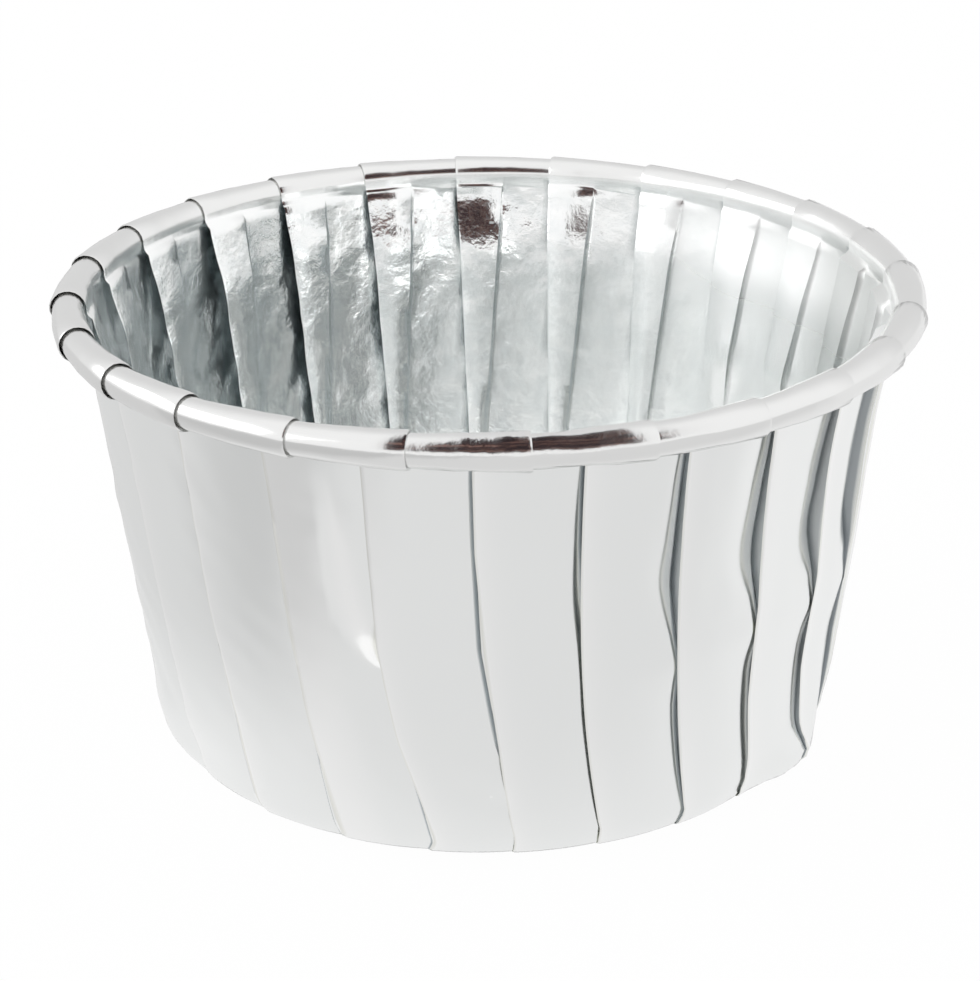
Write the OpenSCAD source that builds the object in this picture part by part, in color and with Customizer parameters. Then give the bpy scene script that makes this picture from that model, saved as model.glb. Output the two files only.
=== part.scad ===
// Pleated baking cup, one round foil-laminated paper blank pressed into shape.
// Z up, opening up, millimetres. The base rests on z = 0 round the Z axis.

/* [Cup] */
// flat of the base, across
base_d = 50; // [46:1:54]
// over the rolled rim, across
rim_d = 70; // [68:1:74]
// base to the top of the rolled rim
height = 38; // [34:1:42]
// bend between base and wall, to the middle of the sheet
heel_r = 2.8; // [2.4:0.2:3.6]
// how far the wall's top is pressed in at the front
front_in = 1.3; // [0:0.1:1.4]
// the same at the back
back_in = 0.2; // [0:0.1:0.4]

/* [Pleats] */
// folds round the wall
pleat_count = 24; // [20:1:26]
// step from one panel to the next where the pleats lie flat
even_step = 1.0; // [0.8:0.1:1.1]
// the same step where they stand open, above the press line
open_step = 2.2; // [1.4:0.2:2.4]
// and below the press line
foot_step = 0.8; // [0.6:0.1:0.9]
// side where the pleats stand open, degrees right of the front
open_side = 55; // [40:5:70]
// where the press line pinches the open folds, as a share of the wall
press_line = 0.42; // [0.38:0.01:0.46]
// turn of the first fold at the base, degrees right of the front
first_fold = 3; // [-7:1:7]
// share of each tuck that lies left of the fold's own line
tuck_share = 0.75; // [0.5:0.05:0.9]

/* [Rim] */
// thickness of the rolled rim
bead_d = 3.0; // [2.8:0.1:3.4]
// how far round the edge is rolled, degrees
curl_turn = 280; // [240:10:290]

/* [Sheet] */
// laminated sheet
sheet_t = 0.15; // [0.12:0.01:0.18]
// air kept between the layers of a fold
fold_gap = 0.1; // [0.1:0.01:0.12]

/* [Hidden] */
pitch = 360 / pleat_count;
layer = sheet_t + fold_gap;
tight = 2 * layer;

base_r = base_d / 2;
bead_r = bead_d / 2;
// middle of the folds in the curl: the outermost layer then fills bead_d
curl_r = bead_r - sheet_t / 2 - 0.85 * tight;
curl_c = [rim_d / 2 - bead_r, height - bead_r];
heel_c = [base_r, heel_r + sheet_t / 2];

// lean of the wall: the line that touches heel arc and curl arc from either side
span = curl_c - heel_c;
reach = norm(span);
lean = atan2(span[0], span[1]) - asin((curl_r + heel_r) / reach);
wall_l = sqrt(pow(reach, 2) - pow(curl_r + heel_r, 2));

heel_steps = 4;
wall_at = [0.22, press_line, 0.64, 0.93, 1];
curl_steps = 7;
heel_turn = 90 - lean;
curl_end = heel_steps + len(wall_at) + curl_steps;

// steps at the wall's rings, where the pleats stand open and where they lie flat
top_step = 0.75 * even_step;
open_steps = [foot_step, tight, open_step, top_step, tight];
even_steps = [0.85 * even_step, even_step, even_step, top_step, tight];
// how far the crests stand out of the middle line at the heel's rings, then at the wall's
heel_rise = [0, 0, 0.1, 0.2, 0.3];
wall_rise = [0.35, 0.4, 0.45, 0.45, tight / 2];

// share of the pressing in at the wall's rings, and how far they lie inboard of the rolled edge's line
pressed_at = [0.05, 0.3, 0.6, 1, 0];
neck_at = [0, 0, 0.1, 0.3, 0];

// panel points from crest to dive, as shares of the panel
panel_at = [0.36, 0.74, 1];
point_count = len(panel_at) + 4;
ring_n = pleat_count * point_count;

function is_heel(j) = j <= heel_steps;
function is_wall(j) = !is_heel(j) && j <= heel_steps + len(wall_at);
function wall_k(j) = j - heel_steps - 1;
function curl_k(j) = (j - heel_steps - len(wall_at)) / curl_steps;

// direction of the sheet's outer face at ring j, degrees in the r, z plane
function face_a(j) =
    is_heel(j) ? -90 + heel_turn * j / heel_steps
    : is_wall(j) ? -lean
    : -lean - curl_turn * curl_k(j);

function face(j) = [cos(face_a(j)), sin(face_a(j))];
function foot() = heel_c + heel_r * [cos(lean), -sin(lean)];

// the edge is rolled a little tighter towards its end
function roll_r(j) = curl_r - 0.1 * curl_k(j);

function middle(j) =
    is_heel(j) ? heel_c + heel_r * face(j)
    : is_wall(j) ? foot() + wall_l * wall_at[wall_k(j)] * [sin(lean), cos(lean)]
    : curl_c - roll_r(j) * face(j);

// radius of the same ring on the flat blank
function blank_r(j) =
    is_heel(j) ? base_r + heel_r * heel_turn * j / heel_steps * PI / 180
    : is_wall(j) ? blank_r(heel_steps) + wall_l * wall_at[wall_k(j)]
    : blank_r(heel_steps + len(wall_at)) + curl_r * curl_turn * curl_k(j) * PI / 180;

// 1 for the pleats that stand open, 0 for those that lie flat
function open_share(i) = let(c = min(max(cos(i * pitch - open_side) / 0.85, 0), 1)) c * c * (3 - 2 * c);
function mix(a, b, share) = a + (b - a) * share;

function step_at(j, i) =
    j == 0 ? 0
    : is_heel(j) ? mix(tight, mix(even_steps[0], open_steps[0], open_share(i)), (j - 1) / heel_steps)
    : is_wall(j) ? mix(even_steps[wall_k(j)], open_steps[wall_k(j)], open_share(i))
    : tight;
function rise_at(j) =
    is_heel(j) ? heel_rise[j] : is_wall(j) ? wall_rise[wall_k(j)] : tight / 2;

// one pleat at ring j: width of a panel, then depth of the tuck under the next
function panel_w(j) = 2 * PI * middle(j)[0] / pleat_count;
function tuck(j) = max(2 * sheet_t, PI * (blank_r(j) - middle(j)[0]) / pleat_count);

// fall of a panel from its crest, full at the next crest
function fall(share) = 0.2 * share + 0.8 * pow(share, 3);

// the pleat's section, [along the ring, outwards], from its crest to the next
function flat_section(w) = [for (q = [0, 0.38, 0.66, 0.82, 0.88, 0.92, 0.96]) [q * w, 0]];
function riser_section(w, d) = concat(
    [for (q = [0, 0.42, 0.74, 0.92]) [q * w, -d * fall(q)]],
    [for (q = [3, 2, 1]) [w, -d * q / 3]]
);
function fold_section(j, i) = let(
    w = panel_w(j), u = tuck(j), d = step_at(j, i), a = rise_at(j),
    v = a - max(d, step_at(j, i + 1) * fall(u / w) + tight)
) concat(
    [[0, a]],
    [for (q = panel_at) [q * w, a - d * fall(q)]],
    [[w + u, v], [w + u, v + layer], [w, a - layer]]
);
// flat at the base edge, a plain step next to it, folds from there on
function section(j, i) =
    j == 0 ? flat_section(panel_w(j))
    : j == 1 ? riser_section(panel_w(j), step_at(j, i))
    : fold_section(j, i);

// turn of the crests at ring j
function crest_a(j) = first_fold - tuck_share * tuck(j) / middle(j)[0] * 180 / PI;

function left_of(d) = [-d[1], d[0]] / norm(d);
function mitre(d0, d1) = (left_of(d0) + left_of(d1)) / (1 + left_of(d0) * left_of(d1));

// point k of the section as skin, half a sheet out (side 1) or in (side -1)
function skin(s, k, side, w) = let(
    last = point_count - 1,
    before = k > 0 ? s[k - 1] : s[last] - [w, 0],
    after = k < last ? s[k + 1] : s[0] + [w, 0]
) s[k] + side * sheet_t / 2 * mitre(s[k] - before, after - s[k]);

// the wall pressed in at the front and a little at the back, t degrees round from the front
function pressed(j, t) = !is_wall(j) ? 0
    : neck_at[wall_k(j)] + pressed_at[wall_k(j)] * (cos(t) > 0 ? front_in : back_in) * pow(cos(t), 2);

function place(j, i, p) = let(
    t = crest_a(j) + i * pitch + p[0] / middle(j)[0] * 180 / PI,
    m = middle(j) + (p[1] - pressed(j, t)) * face(j)
) [m[0] * sin(t), -m[0] * cos(t), m[1]];

function ring(j, side) = let(w = panel_w(j)) [
    for (i = [0 : pleat_count - 1]) let(s = section(j, i)) for (k = [0 : point_count - 1])
        place(j, i, skin(s, k, side, w))
];

function next(q) = (q + 1) % ring_n;

// Sheet, from the base edge through heel, wall and curl to the cut edge.
// Every ring holds an outer and an inner skin of the same pleat section,
// so the folds, their tucks and the rolled rim come from one closed skin.
module pleated_sheet() {
    points = concat(
        [for (j = [0 : curl_end]) for (p = ring(j, 1)) p],
        [for (j = [0 : curl_end]) for (p = ring(j, -1)) p]
    );
    inner = (curl_end + 1) * ring_n;
    end_ring = curl_end * ring_n;
    faces = concat(
        [[for (q = [0 : ring_n - 1]) q]],
        [[for (q = [ring_n - 1 : -1 : 0]) inner + q]],
        [for (j = [0 : curl_end - 1]) for (q = [0 : ring_n - 1])
            let(a = j * ring_n, b = a + ring_n)
            each [[a + q, b + q, b + next(q)], [a + q, b + next(q), a + next(q)]]],
        [for (j = [0 : curl_end - 1]) for (q = [0 : ring_n - 1])
            let(a = inner + j * ring_n, b = a + ring_n)
            each [[a + q, b + next(q), b + q], [a + q, a + next(q), b + next(q)]]],
        [for (q = [0 : ring_n - 1])
            let(a = end_ring, b = inner + end_ring)
            each [[a + q, b + q, b + next(q)], [a + q, b + next(q), a + next(q)]]]
    );
    polyhedron(points = points, faces = faces, convexity = 20);
}

module wrapper() {
    color([0.80, 0.81, 0.82]) pleated_sheet();
}

wrapper();
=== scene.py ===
import math

import bpy
import numpy as np
from mathutils import Matrix, Vector


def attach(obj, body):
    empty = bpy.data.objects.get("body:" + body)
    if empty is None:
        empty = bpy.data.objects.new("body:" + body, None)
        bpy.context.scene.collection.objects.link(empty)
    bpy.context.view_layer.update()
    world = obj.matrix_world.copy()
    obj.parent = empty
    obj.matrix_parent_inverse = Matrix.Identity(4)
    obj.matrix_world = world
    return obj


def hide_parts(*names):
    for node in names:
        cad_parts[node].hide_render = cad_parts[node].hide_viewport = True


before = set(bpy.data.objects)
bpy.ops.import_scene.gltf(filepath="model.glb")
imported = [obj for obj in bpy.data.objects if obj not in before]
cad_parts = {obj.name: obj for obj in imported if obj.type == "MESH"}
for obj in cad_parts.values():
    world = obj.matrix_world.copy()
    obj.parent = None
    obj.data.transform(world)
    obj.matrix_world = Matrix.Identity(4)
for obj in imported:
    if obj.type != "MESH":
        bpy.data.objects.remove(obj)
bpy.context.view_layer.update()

# The wrapper's own unit is the millimetre, as in part.scad. MM turns it into metres.
MM = 0.001

# Driving dimensions, the same as the part's source
BASE_R = 25.0
RIM_R = 35.0
HEIGHT = 38.0
HEEL_R = 2.8
BEAD_R = 1.5
# directions from the bead's middle, in the r, z plane: where the wall meets the roll, and where the cut edge ends
BEAD_START = math.radians(190)
BEAD_END = math.radians(-100)
CURL_TURN = BEAD_START - BEAD_END
# the wall's top lies inboard of the bead, and the cup is pressed in at the front, a little at the back
NECK_IN = 0.3
NECK_H = 0.8
CREST_OUT = 0.45
FRONT_IN = 1.3
BACK_IN = 0.2
# the rim is a little lower at the back
RIM_DIP = 0.25
# the roll of each panel keeps this much inside the circle at its middle
STRAIGHTEN = 0.08
PLEATS = 24
PITCH = 2 * math.pi / PLEATS
# where the press line pinches the open folds, as a share of the wall
PRESS_LINE = 0.42
# turn of the first fold at the base, and the share of each tuck that lies left of the fold's own line
FIRST_FOLD = math.radians(3)
TUCK_SHARE = 0.75
# the middles of the crumpled side and of the side where the wall runs flush into the bead, right of the front
CRUMPLED_AT = math.radians(230)
FLUSH_AT = math.radians(125)

# The seen sheet is thinner than the solid one, and its folds lie closer
SHEET = 0.07
LAYER = 0.09
TIGHT = 2 * LAYER

# How far each panel's end lies below the next crest: widest above the press line, less at the top, least below
WIDE_STEP = 2.1
TOP_STEP = 0.9
# added to the top where the folds stay open up to the bead
RIGHT_TOP = 0.7
FOOT_STEP = 0.75
WIDE_AT = 0.6
OPEN_SIDE = math.radians(60)
# the pleats elsewhere have one even step, a little deeper at the back
EVEN_STEP = 0.9
BACK_STEP = 1.15
# the last of a panel rolls down under the next crest, by this share of the step
ROLL_W = 0.45
ROLL_DOWN = 0.35
# lean of the layer that climbs to the crest
RISER_LEAN = 0.12
# width of the dark gap behind each panel end inside
GAP_W = 0.26
# how far from the crest the painted highlight on a panel reaches, as a share of the panel
HIGHLIGHT_W = 0.13

# Rings of the mesh. Those of the wall are given as shares of it, closest round the press line
BASE_RINGS = 3
HEEL_RINGS = 6
WALL_AT = np.concatenate([
    np.linspace(0, 0.38, 16)[1:],
    np.linspace(0.38, 0.56, 17)[1:],
    np.linspace(0.56, 1, 22)[1:],
])
WALL_RINGS = len(WALL_AT)
NECK_RINGS = 5
CURL_RINGS = 16
WALL_END = HEEL_RINGS + WALL_RINGS
NECK_END = WALL_END + NECK_RINGS
# the parts of the profile that a ring can lie in
IN_HEEL, IN_WALL, IN_NECK, IN_CURL = range(4)

# The panel with the pocket, its points, and hand-pressed turns of the folds at the front: degrees at the foot,
# at a quarter, a half and three quarters of the wall, and at its top
DENTED = 22
DENTED_AT = [0.04, 0.28, 0.44, 0.54, 0.62, 0.69, 0.76, 0.82, 0.88, 0.94, 1.0]
FOLD_TURNS = {
    21: (0.8, 0.5, -0.6, -0.3, 0.5),
    22: (1.1, 0.6, 0.3, 0.4, 0.6),
    23: (1.9, -0.6, -1.7, -1.1, -0.2),
    0: (1.0, 1.0, 0.3, -0.3, 0.0),
    3: (-0.9, -1.2, -0.2, -0.6, -0.9),
    4: (-0.6, -2.6, -0.7, -1.9, -2.2),
}


def smooth(x, low, high):
    """0 below low, 1 above high, an S curve between."""
    q = np.clip((x - low) / (high - low), 0, 1)
    return q * q * (3 - 2 * q)


def bump(x, middle, width):
    """A smooth hill of height 1."""
    return np.exp(-(((x - middle) / width) ** 2))


def waves(x, y, scale, count, seed):
    """Soft noise of about +-1, from sines of random direction; x and y in mm."""
    draw = np.random.default_rng(seed)
    total = 0
    for _ in range(count):
        turn, phase = draw.uniform(0, 2 * math.pi, 2)
        k = 2 * math.pi / (scale * draw.uniform(0.7, 1.6))
        total = total + np.sin(k * (x * np.cos(turn) + y * np.sin(turn)) + phase)
    return total / math.sqrt(count)


# --- the sheet's profile, from the base edge to the cut edge in the curl ---

CURL_R = BEAD_R - SHEET / 2 - 0.85 * TIGHT
CURL_C = np.array([RIM_R - BEAD_R, HEIGHT - BEAD_R])
HEEL_C = np.array([BASE_R, HEEL_R + SHEET / 2])
BEAD_FOOT = CURL_C + CURL_R * np.array([math.cos(BEAD_START), math.sin(BEAD_START)])
WALL_TOP = BEAD_FOOT - np.array([NECK_IN, NECK_H])
SPAN = WALL_TOP - HEEL_C
REACH = math.hypot(*SPAN)
LEAN = math.atan2(SPAN[0], SPAN[1]) - math.asin(HEEL_R / REACH)
WALL_L = math.sqrt(REACH**2 - HEEL_R**2)
HEEL_L = HEEL_R * (math.pi / 2 - LEAN)
FOOT = HEEL_C + HEEL_R * np.array([math.cos(LEAN), -math.sin(LEAN)])
NECK = BEAD_FOOT - WALL_TOP
NECK_L = math.hypot(*NECK)


def ring_profile():
    """Per ring: radius, height, direction of its face, radius on the blank, part, and share of that part."""
    rows = []
    for k in range(HEEL_RINGS + 1):
        q = k / HEEL_RINGS
        a = -math.pi / 2 + (math.pi / 2 - LEAN) * q
        p = HEEL_C + HEEL_R * np.array([math.cos(a), math.sin(a)])
        rows.append((*p, a, BASE_R + HEEL_L * q, IN_HEEL, q))
    for q in WALL_AT:
        p = FOOT + WALL_L * q * np.array([math.sin(LEAN), math.cos(LEAN)])
        rows.append((*p, -LEAN, BASE_R + HEEL_L + WALL_L * q, IN_WALL, q))
    for k in range(1, NECK_RINGS):
        q = k / NECK_RINGS
        p = WALL_TOP + NECK * q
        a = -LEAN + (BEAD_START - math.pi + LEAN) * q * q - 0.5 * math.sin(math.pi * q)
        rows.append((*p, a, BASE_R + HEEL_L + WALL_L + NECK_L * q, IN_NECK, q))
    for k in range(CURL_RINGS + 1):
        q = k / CURL_RINGS
        a = BEAD_START - math.pi - CURL_TURN * q
        r = CURL_R - 0.1 * q
        p = CURL_C - r * np.array([math.cos(a), math.sin(a)])
        blank = BASE_R + HEEL_L + WALL_L + NECK_L + CURL_R * CURL_TURN * q
        rows.append((*p, a, blank, IN_CURL, q))
    return np.array(rows)


# Points of one pleat's section: shares of the open panel, of its rolled end, of the tuck and of the riser
PANEL_AT = [0.015, 0.04, 0.1, 0.2, 0.32, 0.45, 0.58, 0.7, 0.82, 0.92, 1.0]
ROLL_AT = [0.4, 0.8, 1.0]
TUCK_AT = [0.38, 0.97]
RISER_AT = [0.0, 0.35, 0.7]
# crest, panel, roll, tuck, fold, the two points of the returning layer, riser, and the crest's back
POINTS = 1 + len(PANEL_AT) + len(ROLL_AT) + len(TUCK_AT) + 1 + 2 + len(RISER_AT) + 1

# 1 for the pleats that stand open, 0 for those that lie flat
OPEN_PLEATS = smooth(np.cos(np.arange(PLEATS) * PITCH - OPEN_SIDE), 0.15, 0.88)


def section(w, u, step, a, open_by):
    """Points of each pleat at one ring: along the ring, outward. The arguments are arrays, one value per pleat.

    w is the width of a panel, u the depth of its tuck, step how far the panel's end lies below the next crest,
    a how far the crest stands out, and open_by 1 where the fold is open.
    """
    s, n = [], []
    roll_w, roll_down = ROLL_W * (0.35 + 0.65 * open_by), ROLL_DOWN * open_by * step
    fall = step - roll_down
    past = 0.22 * (step - TIGHT) * (1 - open_by * OPEN_PLEATS)
    v = a - np.maximum(step + past, fall * np.minimum(u / w, 1) + TIGHT) - 0.02
    s.append(np.full(PLEATS, -0.03))
    n.append(a - LAYER / 2)
    shares = np.tile(PANEL_AT, (PLEATS, 1))
    shares[DENTED] = DENTED_AT
    for q in shares.T:
        s.append((w - roll_w) * q)
        n.append(a - fall * (0.35 * q + 0.65 * q**3))
    for q in ROLL_AT:
        s.append(w - roll_w * (1 - q))
        n.append(a - fall - roll_down * q * q)
    for q in TUCK_AT:
        s.append(w + u * q)
        n.append((a - step) * (1 - q) + v * q - past * (1 - q) * 0.9)
    s.append(w + u + 0.03)
    n.append(v + LAYER / 2)
    # the layer that comes back lies on the tuck, then climbs to the crest
    under = np.minimum(RISER_LEAN * (0.3 + 0.7 * open_by), 0.5 * u)
    low = a - step + np.maximum(LAYER, 0.12 * open_by)
    s.append(w + u * 0.97)
    n.append(v + LAYER)
    s.append(w + u * 0.5 + under * 0.5)
    n.append((v + LAYER) * 0.5 + low * 0.5)
    for q in RISER_AT:
        s.append(w + under * (1 - q) + 0.03 * q)
        n.append(low + (a - LAYER - low) * q**0.8)
    s.append(w + 0.03)
    n.append(a - LAYER)
    return np.array(s).T, np.array(n).T


def step_at(q, pinch_at, open_share, even_step):
    """How far the panel ends lie below the next crests at share q of the wall, tight fold included."""
    # the folds furthest to the right stay open up to the bead
    top_step = TOP_STEP + RIGHT_TOP * smooth(np.cos(np.arange(PLEATS) * PITCH - math.radians(72)), 0.85, 1)
    above = top_step + (WIDE_STEP - top_step) * np.clip((1 - q) / (1 - WIDE_AT), 0, 1) ** 1.5
    upper = (above - TIGHT) * smooth(q, pinch_at - 0.02, pinch_at + 0.24)
    lower = (FOOT_STEP - TIGHT) * (1 - smooth(q, pinch_at - 0.14, pinch_at)) * smooth(q, -0.1, 0.2)
    even = (even_step - TIGHT) * smooth(q, -0.15, 0.4) * (1 - 0.5 * smooth(q, 0.84, 1))
    return TIGHT + (upper + lower) * open_share + even * (1 - open_share)


def sway(turn, up):
    """How far the press turned the folds at share up of the wall, in radians; the folds on the right bow left."""
    right = smooth(np.cos(turn - math.radians(42)), 0.55, 0.92)
    left = bump(turn, math.radians(338), math.radians(15))
    bow = -2.0 * math.sin(math.pi * min(max(up, 0.0), 1.0) ** 0.8) - 0.8 * (1 - up)
    return np.radians(right * bow + left * 1.4 * (1 - smooth(up, 0, 0.35)))


def pocket_edge(z):
    """How far before the next crest the pocket's edge runs at height z."""
    return 4.1 * math.sqrt(max(0.0, 1 - (max(0.0, 24.5 - z) / 7.9) ** 2))


def pocket(before, z):
    """The press pushed one panel in next to the next crest: millimetres outward, before that crest and at z."""
    rho = np.hypot(np.maximum(before, 0) / 4.1, max(0.0, 24.5 - z) / 7.9)
    inside = np.maximum(1 - rho, 0) * 7.9
    deep = 0.3 + 1.1 * (1 - smooth(z, 18.5, 31))
    tucked = np.clip(1 + np.minimum(before, 0) / 3.5, 0, 1)
    return -deep * np.tanh(0.58 * inside / deep) * tucked * (1 - smooth(z, 30, 35))


def build_grid():
    """Centre line grid of the sheet: along and outward, per ring and point, and the crests' turn."""
    rows = ring_profile()
    per_pleat = np.arange(PLEATS)
    draw = np.random.default_rng(7)
    turn_off = draw.normal(0, math.radians(0.3), PLEATS)
    even_step = EVEN_STEP + (BACK_STEP - EVEN_STEP) * smooth(-np.cos(per_pleat * PITCH), -0.2, 0.5)
    step_gain = draw.uniform(0.88, 1.12, PLEATS)
    pinch_at = PRESS_LINE + draw.normal(0, 0.012, PLEATS)
    grid_s, grid_n, crest = [], [], []
    for r, z, a, blank, part, q in rows:
        w = np.full(PLEATS, 2 * math.pi * r / PLEATS)
        u = np.full(PLEATS, max(0.02, math.pi * (blank - r) / PLEATS))
        rise = np.full(PLEATS, TIGHT / 2)
        step = np.full(PLEATS, TIGHT)
        if part == IN_HEEL:
            step = smooth(q, 0, 0.6) * (TIGHT * (1 - q) + step_at(0, pinch_at, OPEN_PLEATS, even_step) * q)
            rise = np.full(PLEATS, 0.3 * q)
        elif part == IN_WALL:
            step = TIGHT + (step_at(q, pinch_at, OPEN_PLEATS, even_step) - TIGHT) * step_gain
            rise = np.full(PLEATS, 0.3 + (CREST_OUT - 0.3) * smooth(q, 0.05, 0.6))
        elif part == IN_NECK:
            top = step_at(1, pinch_at, OPEN_PLEATS, even_step)
            step = TIGHT + (top - TIGHT) * (1 - q) ** 1.5 * step_gain
            rise = np.full(PLEATS, CREST_OUT + (TIGHT / 2 - CREST_OUT) * smooth(q, 0, 1))
        open_by = np.clip((step - TIGHT) / 0.6, 0, 1)
        s, n = section(w, u, step, rise, open_by)
        if part == IN_WALL:
            n[DENTED] += pocket(w[0] - s[DENTED], z)
        grid_s.append(s)
        grid_n.append(n)
        base_turn = FIRST_FOLD - TUCK_SHARE * u / r + per_pleat * PITCH
        up = q if part == IN_WALL else float(part > IN_WALL)
        by_hand = np.zeros(PLEATS)
        for fold, turns in FOLD_TURNS.items():
            by_hand[fold] = np.radians(np.interp(up, (0, 0.25, 0.5, 0.75, 1), turns))
        risen = min(1, (blank - BASE_R) / 3)
        crest.append(base_turn + (sway(base_turn, up) + by_hand) * risen + turn_off * min(1, (blank - BASE_R) / 8))
    return rows, np.array(grid_s), np.array(grid_n), np.array(crest)


def mitred(s, n, w, side):
    """Section points moved half a sheet out (side 1) or in (side -1), round the whole ring."""
    flat_s = (s + np.arange(PLEATS)[:, None] * w).ravel()
    flat_n = n.ravel()
    total = PLEATS * w
    next_s = np.roll(flat_s, -1)
    next_s[-1] += total
    ds, dn = next_s - flat_s, np.roll(flat_n, -1) - flat_n
    length = np.maximum(np.hypot(ds, dn), 1e-9)
    ls, ln = -dn / length, ds / length
    ps, pn = np.roll(ls, 1), np.roll(ln, 1)
    dot = np.maximum(1 + ls * ps + ln * pn, 0.35)
    k = side * SHEET / 2 / dot
    return flat_s + k * (ls + ps), flat_n + k * (ln + pn)


def dents(theta, z):
    """The marks of handling on the wall, in millimetres outward; theta in radians, z in millimetres."""
    turn = np.degrees(theta)
    turn = (turn + 180) % 360 - 180
    # a slanting crease under the bead on the same panel
    slant = turn + 27.5 - (z - 29.0) * 0.9
    crease = -0.22 * bump(slant, 0, 0.9) * bump(z, 29.0, 2.4)
    # small crumples near the heel
    crumple = -0.32 * bump(turn, 1.0, 1.6) * bump(z, 5.5, 1.0)
    crumple = crumple - 0.2 * bump(turn, -3.0, 1.2) * bump(z, 7.0, 0.8)
    # fine creases under the bead at the front
    fine = 0.05 * np.sin((z * 4.0 + turn * 0.55) * 1.9) * bump(turn, 0.0, 10.0) * smooth(z, 32.2, 34.0)
    # inside, a panel end at the back leans out to the bead
    lean_out = 0.9 * bump((turn - 181.5 + 180) % 360 - 180, 0, 3.0) * smooth(z, 29.5, 35.2)
    return crease + crumple + fine + lean_out


def heel_lumps(theta, z):
    """The heel isn't quite round: millimetres outward near the foot of the wall."""
    turn = (np.degrees(theta) + 180) % 360 - 180
    lumps = -0.35 * bump(turn, 0, 40) * (1 - smooth(z, 1.0, 5.0))
    lumps = lumps + 1.0 * bump(turn, 59, 7) * bump(z, 2.2, 1.7) - 0.5 * bump(turn, 46, 6) * bump(z, 2.0, 2.0)
    lumps = lumps - 0.7 * bump(turn, 88, 13) * bump(z, 2.5, 3.0)
    return lumps + 0.3 * bump(turn, -70, 6) * bump(z, 5.0, 2.0) - 0.5 * bump(turn, -55, 7) * bump(z, 3.0, 2.0)


def sheet_points(side):
    """Points of the outer skin (side 1) or the inner one (side -1), per ring, in millimetres."""
    rows, grid_s, grid_n, crest = build_grid()
    out = []
    for (r, z, a, blank, part, q), s, n, c in zip(rows, grid_s, grid_n, crest):
        w = 2 * math.pi * r / PLEATS
        ss, nn = mitred(s, n, w, side)
        ss = ss.reshape(PLEATS, POINTS) - np.arange(PLEATS)[:, None] * w
        nn = nn.reshape(PLEATS, POINTS)
        theta = c[:, None] + ss / r
        along = r * theta
        front = np.maximum(np.cos(theta), 0) ** 2
        back = np.maximum(-np.cos(theta), 0) ** 2
        pressed = FRONT_IN * front + BACK_IN * back
        # at the right and the back the wall runs into the bead without a shelf
        flush = NECK_IN * smooth(np.cos(theta - FLUSH_AT), -0.1, 0.5)
        if part == IN_WALL:
            edge = smooth(q, 0, 0.15) * (1 - smooth(q, 0.9, 1))
            # the back left of the wall is crumpled, the rest is nearly smooth
            worn = 0.02 + 0.05 * smooth(np.cos(theta - CRUMPLED_AT), 0.2, 0.9)
            nn = nn + edge * worn * waves(along * 1.6, blank * 0.7, 4.0, 9, 3) + dents(theta, z)
            nn = nn - pressed * smooth(q, 0.1, 1) + flush * smooth(q, 0.8, 1)
        elif part == IN_NECK:
            nn = nn + (flush - pressed) * (1 - smooth(q, 0, 1))
        if z < 9:
            nn = nn + heel_lumps(theta, z) * smooth(z, 0.1, 1.2)
        if part == IN_CURL:
            # each panel's roll is a nearly straight tube from joint to joint
            joint = c[:, None] + (2 * math.pi * r / PLEATS + max(0.02, math.pi * (blank - r) / PLEATS)) / r
            from_middle = (theta - joint) / PITCH % 1 - 0.5
            inboard = STRAIGHTEN * (1 - 4 * from_middle**2) * smooth(q, -0.2, 0.2)
            # the roll is creased where it was gripped at the front
            gripped = bump((np.degrees(theta) + 180) % 360 - 180, 6, 17)
            nn = nn + (0.012 + 0.04 * gripped) * waves(along, blank, 2.6, 9, 5)
        radius = r + nn * math.cos(a)
        height = z + nn * math.sin(a)
        if part == IN_CURL:
            radius = radius - inboard
        x, y = radius * np.sin(theta), -radius * np.cos(theta)
        height = height - RIM_DIP * smooth(-np.cos(theta), 0, 1) * smooth(z, 20, 36)
        out.append(np.stack([x, y, height], -1).reshape(-1, 3))
    return np.array(out)


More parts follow.
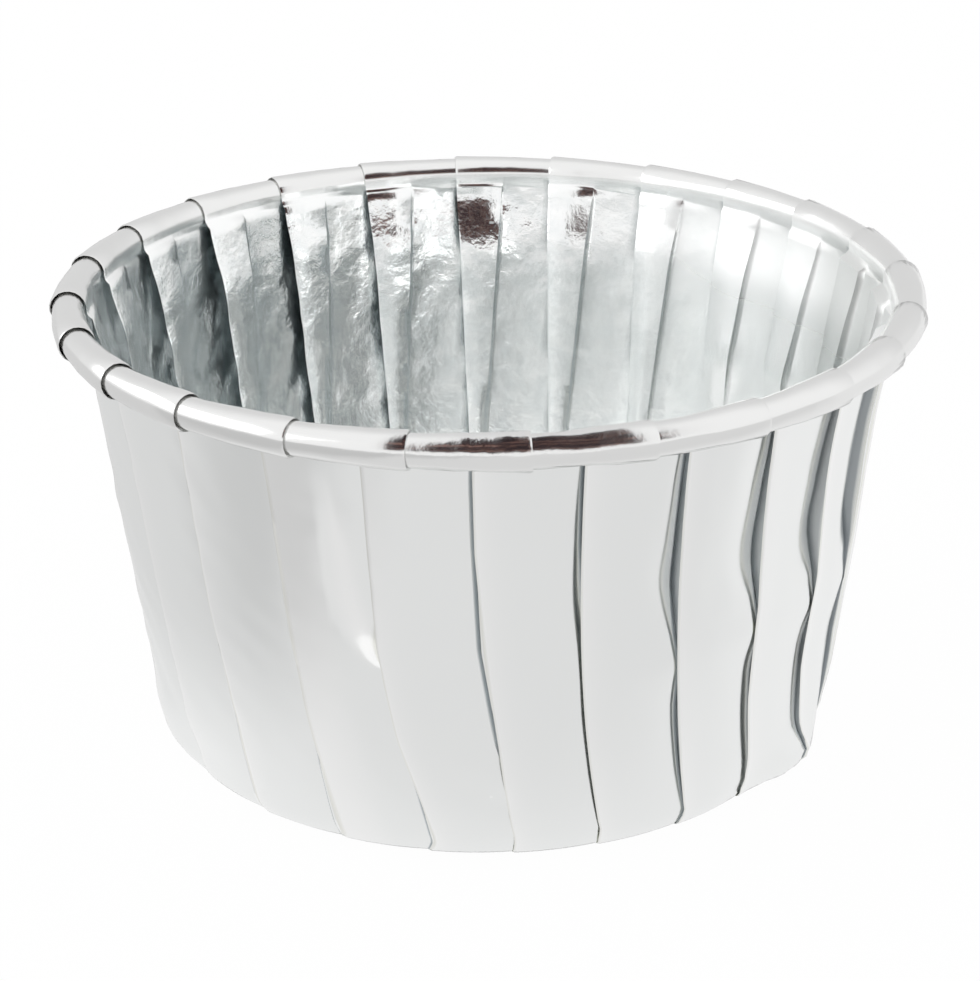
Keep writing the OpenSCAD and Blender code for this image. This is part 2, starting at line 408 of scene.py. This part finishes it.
def point_shares(xyz, around):
    """Where the sheet gets painted highlight or painted shade, or is hidden or squeezed: a share for each point,
    under the names that foil() reads.

    The outer skin's points come first, then the inner skin's, each from the base's edge rings upward.
    """
    rows, grid_s = build_grid()[:2]
    half = len(xyz) // 2
    index = np.arange(len(xyz))
    inner = index >= half
    place = (index % around) % POINTS
    ring = index // around - BASE_RINGS
    in_ring = (index - half) // around - BASE_RINGS
    height = xyz[:, 2]
    turn = np.arctan2(xyz[:, 0], -xyz[:, 1])
    turned = np.degrees(turn)
    # the outer skin, short of the bead, and the rolled edge
    outside = (ring > 0) & (ring <= NECK_END)
    bead = ((ring > NECK_END) & ~inner) | ((in_ring > NECK_END) & inner)
    # the creased edge of each pleat, and a painted highlight on the panel next to it
    crest = np.isin(place, (0, POINTS - 1)) & outside
    across = np.array([0] + PANEL_AT + [1] * (POINTS - 1 - len(PANEL_AT)))
    painted_highlight = outside * np.exp(-across[place] / HIGHLIGHT_W)
    # a painted highlight lies along the pocket's bank too
    for k, ((r, z, _, _, part, _), s) in enumerate(zip(rows, grid_s)):
        if part == IN_WALL and z > 17:
            before = 2 * math.pi * r / PLEATS - s[DENTED]
            at = (BASE_RINGS + k) * around + DENTED * POINTS
            bank_highlight = bump(before, pocket_edge(z) - 0.9, 0.9) * (before > 0) * (1 - smooth(z, 27, 34))
            painted_highlight[at : at + POINTS] = np.maximum(painted_highlight[at : at + POINTS], bank_highlight)
    # painted shade in the tucks: full on the roll of each panel's end, weaker on the layers under the next panel
    hidden = (place > len(PANEL_AT)) & (place < POINTS - 1) & outside
    roll_end = 1 + len(PANEL_AT) + len(ROLL_AT)
    painted_tuck_shade = hidden * np.where(place >= roll_end, 0.3, 1.0)
    # the folds furthest to the right are in shade
    shaded = hidden * bump(turned, 78, 18)
    # the paper is dull where the folds close under the bead inside, at the right
    neck = smooth(in_ring, WALL_END - 16, WALL_END - 1)
    neck = neck * smooth(np.cos(turn - math.radians(105)), 0.6, 0.95)
    neck = neck * (1 - smooth(in_ring, NECK_END, NECK_END + 3))
    matt = np.maximum(hidden, 0.9 * neck * inner)
    # the paper is squeezed inside at the left and the back, and where the bead was gripped
    squeezed = inner * smooth(np.cos(turn - CRUMPLED_AT), -0.3, 0.8)
    squeezed = squeezed * smooth(height, 2, 8) * (1 - smooth(height, 34, 36))
    squeezed = np.maximum(squeezed, 0.5 * bead * bump(turned, 4, 16))
    # inside, painted shade darkens the right of the wall
    side = inner * smooth(np.cos(np.radians(turned - 100)), 0.93, 1) * outside[index % half]
    # inside, each panel is in the dark behind the end of the one before it
    gap = np.zeros(len(xyz))
    start = half + BASE_RINGS * around
    for k, ((r, _, _, blank, part, q), s) in enumerate(zip(rows, grid_s)):
        if part in (IN_WALL, IN_NECK):
            tuck = math.pi * (blank - r) / PLEATS
            dark = 1 - smooth(s - tuck, 0, GAP_W * (1.5 - 0.7 * (q if part == IN_WALL else 1)))
            gap[start + k * around : start + (k + 1) * around] = (dark * (s < 7)).ravel()
    return {
        "outside": outside,
        "bead": bead,
        "painted_highlight": painted_highlight,
        "painted_tuck_shade": painted_tuck_shade,
        "shaded": shaded,
        "side": side,
        "gap": gap,
        "crest": crest,
        "squeezed": squeezed,
        "matt": matt,
    }


def build_wrapper():
    """The sheet as one closed mesh of two skins, with the attributes that foil() reads."""
    outer, inner = sheet_points(1), sheet_points(-1)
    around = outer.shape[1]
    points, faces = [], []

    def skin(grid, flip):
        start = len(points)
        # base: rings that shrink to a middle point
        base = []
        for k in range(BASE_RINGS, 0, -1):
            ring = grid[0].copy()
            ring[:, :2] *= (k / (BASE_RINGS + 1)) ** 0.8
            base.append(ring)
        full = base[::-1] + list(grid)
        for ring in full:
            points.extend(ring)
        middle = len(points)
        points.append(np.array([0, 0, grid[0][:, 2].mean()]))
        nxt = (np.arange(around) + 1) % around
        for k in range(len(full) - 1):
            a, b = start + k * around, start + (k + 1) * around
            for q in range(around):
                quad = (a + q, b + q, b + nxt[q], a + nxt[q])
                faces.append(quad[::-1] if flip else quad)
        for q in range(around):
            tri = (start + q, start + nxt[q], middle)
            faces.append(tri[::-1] if flip else tri)
        return start + (len(full) - 1) * around

    end_out = skin(outer, True)
    end_in = skin(inner, False)
    for q in range(around):
        n = (q + 1) % around
        faces.append((end_out + q, end_out + n, end_in + n, end_in + q))

    mesh = bpy.data.meshes.new("wrapper_sheet")
    mesh.from_pydata([tuple(float(v) * MM for v in p) for p in points], [], faces)
    mesh.validate()
    mesh.update()
    for face in mesh.polygons:
        face.use_smooth = True
    for name, values in point_shares(np.array(points), around).items():
        layer = mesh.attributes.new(name, "FLOAT", "POINT")
        layer.data.foreach_set("value", values.astype(np.float32))
    obj = bpy.data.objects.new("wrapper_sheet", mesh)
    bpy.context.scene.collection.objects.link(obj)
    mesh.set_sharp_from_angle(angle=math.radians(40))
    return obj


# --- materials ---


def material(name):
    mat = bpy.data.materials.new(name)
    mat.use_nodes = True
    nodes, links = mat.node_tree.nodes, mat.node_tree.links
    nodes.clear()
    return mat, nodes, links


# base colours of the outer skin, the bead, the painted highlight, the painted shade and the crest lines, each laid
# over those before it
SHADES = {
    "outside": (0.93, 0.94, 0.935, 1),
    "bead": (0.86, 0.86, 0.855, 1),
    # painted highlight next to the crests and along the pocket's bank
    "painted_highlight": (0.99, 0.99, 0.985, 1),
    # painted shade in the tucks under the next crest
    "painted_tuck_shade": (0.55, 0.59, 0.61, 1),
    "shaded": (0.45, 0.48, 0.5, 1),
    # painted shade on the right of the inner wall
    "side": (0.8, 0.81, 0.8, 1),
    "gap": (0.42, 0.45, 0.46, 1),
    "crest": (0.86, 0.86, 0.82, 1),
}


def foil():
    mat, nodes, links = material("foil_paper")
    out = nodes.new("ShaderNodeOutputMaterial")
    shader = nodes.new("ShaderNodeBsdfPrincipled")
    shader.inputs["Metallic"].default_value = 1.0
    links.new(shader.outputs["BSDF"], out.inputs["Surface"])
    coord = nodes.new("ShaderNodeTexCoord")
    # colour: a hardly seen mottle of the laminate
    tone = nodes.new("ShaderNodeTexNoise")
    tone.inputs["Scale"].default_value = 220.0
    tone.inputs["Detail"].default_value = 3.0
    links.new(coord.outputs["Object"], tone.inputs["Vector"])
    ramp = nodes.new("ShaderNodeValToRGB")
    ramp.color_ramp.elements[0].position = 0.3
    ramp.color_ramp.elements[0].color = (0.97, 0.98, 0.975, 1)
    ramp.color_ramp.elements[1].position = 0.7
    ramp.color_ramp.elements[1].color = (0.985, 0.99, 0.988, 1)
    links.new(tone.outputs["Fac"], ramp.inputs["Fac"])
    # where the paper was squeezed the laminate is dull in patches
    patches = nodes.new("ShaderNodeTexNoise")
    patches.inputs["Scale"].default_value = 520.0
    patches.inputs["Detail"].default_value = 5.0
    patches.inputs["Distortion"].default_value = 0.6
    links.new(coord.outputs["Object"], patches.inputs["Vector"])
    patchy = nodes.new("ShaderNodeMapRange")
    patchy.inputs["From Min"].default_value = 0.38
    patchy.inputs["From Max"].default_value = 0.62
    patchy.inputs["To Min"].default_value = 0.4
    patchy.inputs["To Max"].default_value = 0.0
    links.new(patches.outputs["Fac"], patchy.inputs["Value"])
    squeezed = nodes.new("ShaderNodeAttribute")
    squeezed.attribute_name = "squeezed"
    dull_share = nodes.new("ShaderNodeMath")
    dull_share.operation = "MULTIPLY"
    links.new(patchy.outputs["Result"], dull_share.inputs[0])
    links.new(squeezed.outputs["Fac"], dull_share.inputs[1])
    dull = nodes.new("ShaderNodeMix")
    dull.data_type = "RGBA"
    dull.inputs["B"].default_value = (0.78, 0.82, 0.83, 1)
    links.new(dull_share.outputs[0], dull.inputs["Factor"])
    links.new(ramp.outputs["Color"], dull.inputs["A"])
    # the outer skin, the bead, the painted highlight, the painted shade and the crest lines
    colour = dull.outputs["Result"]
    for name, value in SHADES.items():
        place = nodes.new("ShaderNodeAttribute")
        place.attribute_name = name
        worn = nodes.new("ShaderNodeMix")
        worn.data_type = "RGBA"
        worn.inputs["B"].default_value = value
        links.new(place.outputs["Fac"], worn.inputs["Factor"])
        links.new(colour, worn.inputs["A"])
        colour = worn.outputs["Result"]
    links.new(colour, shader.inputs["Base Color"])
    # roughness: cloudy
    cloud = nodes.new("ShaderNodeTexNoise")
    cloud.inputs["Scale"].default_value = 90.0
    cloud.inputs["Detail"].default_value = 2.0
    links.new(coord.outputs["Object"], cloud.inputs["Vector"])
    spread = nodes.new("ShaderNodeMapRange")
    spread.inputs["To Min"].default_value = 0.12
    spread.inputs["To Max"].default_value = 0.24
    links.new(cloud.outputs["Fac"], spread.inputs["Value"])
    hidden = nodes.new("ShaderNodeAttribute")
    hidden.attribute_name = "matt"
    rough = nodes.new("ShaderNodeMix")
    rough.inputs["B"].default_value = 0.55
    links.new(hidden.outputs["Fac"], rough.inputs["Factor"])
    links.new(spread.outputs["Result"], rough.inputs["A"])
    links.new(rough.outputs["Result"], shader.inputs["Roughness"])
    # relief: paper crumple under the foil
    crumple = nodes.new("ShaderNodeTexNoise")
    crumple.inputs["Scale"].default_value = 560.0
    crumple.inputs["Detail"].default_value = 4.0
    crumple.inputs["Roughness"].default_value = 0.55
    links.new(coord.outputs["Object"], crumple.inputs["Vector"])
    relief = nodes.new("ShaderNodeBump")
    relief.inputs["Distance"].default_value = 0.15 * MM
    # the inner face is crumpled more where the paper was squeezed
    grow = nodes.new("ShaderNodeMapRange")
    grow.inputs["To Min"].default_value = 0.05
    grow.inputs["To Max"].default_value = 1.0
    links.new(squeezed.outputs["Fac"], grow.inputs["Value"])
    links.new(grow.outputs["Result"], relief.inputs["Strength"])
    links.new(crumple.outputs["Fac"], relief.inputs["Height"])
    links.new(relief.outputs["Normal"], shader.inputs["Normal"])
    return mat


def floor_white():
    """Pale floor. The camera sees it white, with a faint shadow, and reflections see a pale grey glow."""
    mat, nodes, links = material("floor_white")
    out = nodes.new("ShaderNodeOutputMaterial")
    diffuse = nodes.new("ShaderNodeBsdfDiffuse")
    diffuse.inputs["Color"].default_value = (0.9, 0.9, 0.9, 1)
    glow = nodes.new("ShaderNodeEmission")
    glow.inputs["Strength"].default_value = 1.0
    grey_glow = nodes.new("ShaderNodeEmission")
    coord = nodes.new("ShaderNodeTexCoord")
    split = nodes.new("ShaderNodeSeparateXYZ")
    links.new(coord.outputs["Object"], split.inputs["Vector"])
    away = nodes.new("ShaderNodeMapRange")
    away.interpolation_type = "SMOOTHSTEP"
    away.inputs["From Min"].default_value = -0.045
    away.inputs["From Max"].default_value = -0.01
    away.inputs["To Min"].default_value = 0.78
    away.inputs["To Max"].default_value = 0.9
    links.new(split.outputs["Y"], away.inputs["Value"])
    aside = nodes.new("ShaderNodeMapRange")
    aside.interpolation_type = "SMOOTHSTEP"
    aside.inputs["From Min"].default_value = -0.052
    aside.inputs["From Max"].default_value = -0.022
    aside.inputs["To Min"].default_value = 0.8
    aside.inputs["To Max"].default_value = 1.0
    links.new(split.outputs["X"], aside.inputs["Value"])
    tone = nodes.new("ShaderNodeMath")
    tone.operation = "MULTIPLY"
    links.new(away.outputs["Result"], tone.inputs[0])
    links.new(aside.outputs["Result"], tone.inputs[1])
    links.new(tone.outputs[0], grey_glow.inputs["Strength"])
    path = nodes.new("ShaderNodeLightPath")
    keep = nodes.new("ShaderNodeMath")
    keep.operation = "MULTIPLY"
    keep.inputs[1].default_value = 0.97
    links.new(path.outputs["Is Camera Ray"], keep.inputs[0])
    mirror = nodes.new("ShaderNodeMixShader")
    links.new(path.outputs["Is Glossy Ray"], mirror.inputs["Fac"])
    links.new(diffuse.outputs[0], mirror.inputs[1])
    links.new(grey_glow.outputs[0], mirror.inputs[2])
    mix = nodes.new("ShaderNodeMixShader")
    links.new(keep.outputs[0], mix.inputs["Fac"])
    links.new(mirror.outputs[0], mix.inputs[1])
    links.new(glow.outputs[0], mix.inputs[2])
    links.new(mix.outputs[0], out.inputs["Surface"])
    return mat


def card(name, dark, light):
    """A card that only reflections see, with cloudy streaks of a second tone."""
    mat, nodes, links = material(name)
    out = nodes.new("ShaderNodeOutputMaterial")
    diffuse = nodes.new("ShaderNodeBsdfDiffuse")
    coord = nodes.new("ShaderNodeTexCoord")
    cloud = nodes.new("ShaderNodeTexNoise")
    cloud.inputs["Scale"].default_value = 22.0
    links.new(coord.outputs["Object"], cloud.inputs["Vector"])
    ramp = nodes.new("ShaderNodeValToRGB")
    ramp.color_ramp.elements[0].position = 0.52
    ramp.color_ramp.elements[0].color = (*dark, 1)
    ramp.color_ramp.elements[1].position = 0.66
    ramp.color_ramp.elements[1].color = (*light, 1)
    links.new(cloud.outputs["Fac"], ramp.inputs["Fac"])
    links.new(ramp.outputs["Color"], diffuse.inputs["Color"])
    # light that goes from wall to wall inside the cup passes it
    path = nodes.new("ShaderNodeLightPath")
    later = nodes.new("ShaderNodeMath")
    later.operation = "GREATER_THAN"
    later.inputs[1].default_value = 1.5
    links.new(path.outputs["Ray Depth"], later.inputs[0])
    clear = nodes.new("ShaderNodeBsdfTransparent")
    mix = nodes.new("ShaderNodeMixShader")
    links.new(later.outputs[0], mix.inputs["Fac"])
    links.new(diffuse.outputs[0], mix.inputs[1])
    links.new(clear.outputs[0], mix.inputs[2])
    links.new(mix.outputs[0], out.inputs["Surface"])
    return mat


# --- stage ---


def plane(name, size):
    """A level sheet at the origin, size in metres."""
    half_x, half_y = size[0] / 2, size[1] / 2
    mesh = bpy.data.meshes.new(name)
    corners = [(-half_x, -half_y, 0), (half_x, -half_y, 0), (half_x, half_y, 0), (-half_x, half_y, 0)]
    mesh.from_pydata(corners, [], [(0, 1, 2, 3)])
    obj = bpy.data.objects.new(name, mesh)
    bpy.context.scene.collection.objects.link(obj)
    return obj


def bent_card(name, eye, rows):
    """A card bent through rows of points: each row's distance from the eye, then its left and right directions."""
    corners = [Vector(eye) + distance * Vector(d).normalized() for distance, *pair in rows for d in pair]
    mesh = bpy.data.meshes.new(name)
    mesh.from_pydata(corners, [], [(2 * k, 2 * k + 1, 2 * k + 3, 2 * k + 2) for k in range(len(rows) - 1)])
    obj = bpy.data.objects.new(name, mesh)
    bpy.context.scene.collection.objects.link(obj)
    return obj


def area_light(name, place, target, size, power):
    data = bpy.data.lights.new(name, "AREA")
    data.shape = "RECTANGLE"
    data.size, data.size_y = size
    data.energy = power
    obj = bpy.data.objects.new(name, data)
    obj.location = place
    obj.rotation_mode = "QUATERNION"
    obj.rotation_quaternion = (Vector(target) - Vector(place)).to_track_quat("-Z", "Y")
    bpy.context.scene.collection.objects.link(obj)
    return obj


def world_white():
    """White round the cup, and a little greyer behind it for what the foil reflects."""
    world = bpy.data.worlds.new("studio")
    bpy.context.scene.world = world
    world.use_nodes = True
    nodes, links = world.node_tree.nodes, world.node_tree.links
    nodes.clear()
    out = nodes.new("ShaderNodeOutputWorld")
    back = nodes.new("ShaderNodeBackground")
    back.inputs["Strength"].default_value = 1.0
    coord = nodes.new("ShaderNodeTexCoord")
    split = nodes.new("ShaderNodeSeparateXYZ")
    links.new(coord.outputs["Generated"], split.inputs["Vector"])
    fade = nodes.new("ShaderNodeMapRange")
    fade.interpolation_type = "SMOOTHSTEP"
    fade.inputs["From Min"].default_value = 0.1
    fade.inputs["From Max"].default_value = 0.95
    fade.inputs["To Min"].default_value = 1.0
    fade.inputs["To Max"].default_value = 0.76
    links.new(split.outputs["Y"], fade.inputs["Value"])
    path = nodes.new("ShaderNodeLightPath")
    tone = nodes.new("ShaderNodeMix")
    tone.inputs["A"].default_value = 1.0
    links.new(path.outputs["Is Glossy Ray"], tone.inputs["Factor"])
    links.new(fade.outputs["Result"], tone.inputs["B"])
    links.new(tone.outputs["Result"], back.inputs["Color"])
    links.new(back.outputs[0], out.inputs["Surface"])


# Camera, from a fit of the cup's outline in the photo's 980 x 981 frame. Lengths in millimetres
PHOTO_LONG = 981
CAM_ELEVATION = math.radians(23.323)
CAM_DISTANCE = 239.92
CAM_ROLL = math.radians(-0.6014)
CAM_FOCAL_PX = 2903.35
CAM_AIM = (-0.082, 1.113)
AIM_HEIGHT = 18.0


def photo_camera():
    data = bpy.data.cameras.new("camera")
    data.sensor_width = 36.0
    data.lens = CAM_FOCAL_PX * data.sensor_width / PHOTO_LONG
    data.clip_start, data.clip_end = 0.01, 20
    e = CAM_ELEVATION
    right = Vector((1, 0, 0))
    up = Vector((0, math.sin(e), math.cos(e)))
    ahead = Vector((0, math.cos(e), -math.sin(e)))
    x = right * math.cos(CAM_ROLL) + up * math.sin(CAM_ROLL)
    y = up * math.cos(CAM_ROLL) - right * math.sin(CAM_ROLL)
    aim = Vector((0, 0, AIM_HEIGHT)) + right * CAM_AIM[0] + up * CAM_AIM[1]
    place = (aim - ahead * CAM_DISTANCE) * MM
    obj = bpy.data.objects.new("camera", data)
    turn = Matrix((x, y, -ahead)).transposed().to_4x4()
    obj.matrix_world = Matrix.Translation(place) @ turn
    bpy.context.scene.collection.objects.link(obj)
    bpy.context.scene.camera = obj


wrapper = build_wrapper()
wrapper.data.materials.append(foil())
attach(wrapper, "root")
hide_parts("wrapper")

floor = plane("floor", (6, 6))
floor.data.materials.append(floor_white())
# what the bead mirrors from the camera's side: the dark hood over the camera
hood = bent_card("camera_hood", (0.006, -0.034, 0.037), (
    (0.40, (-0.37, -0.88, 0.30), (0.67, -0.70, 0.26)),
    (0.28, (-0.33, -0.65, 0.69), (0.58, -0.50, 0.64)),
    (0.10, (-0.23, -0.19, 0.95), (0.42, -0.09, 0.90)),
    (0.06, (-0.12, 0.34, 0.93), (0.22, 0.39, 0.90)),
    (0.06, (-0.08, 0.52, 0.85), (0.15, 0.55, 0.82)),
))
hood.data.materials.append(card("camera_hood", (0.02, 0.01, 0.012), (0.36, 0.19, 0.15)))
hood.visible_camera = False
hood.visible_diffuse = False
hood.visible_shadow = False

world_white()
area_light("softbox_left", (-1.0, -0.1, 0.5), (0, 0, 0.02), (1.2, 0.6), 3)
photo_camera()
bpy.context.scene.view_settings.view_transform = "Standard"
# light goes from wall to wall many times inside a foil cup
bpy.context.scene.cycles.max_bounces = 16
bpy.context.scene.cycles.glossy_bounces = 16
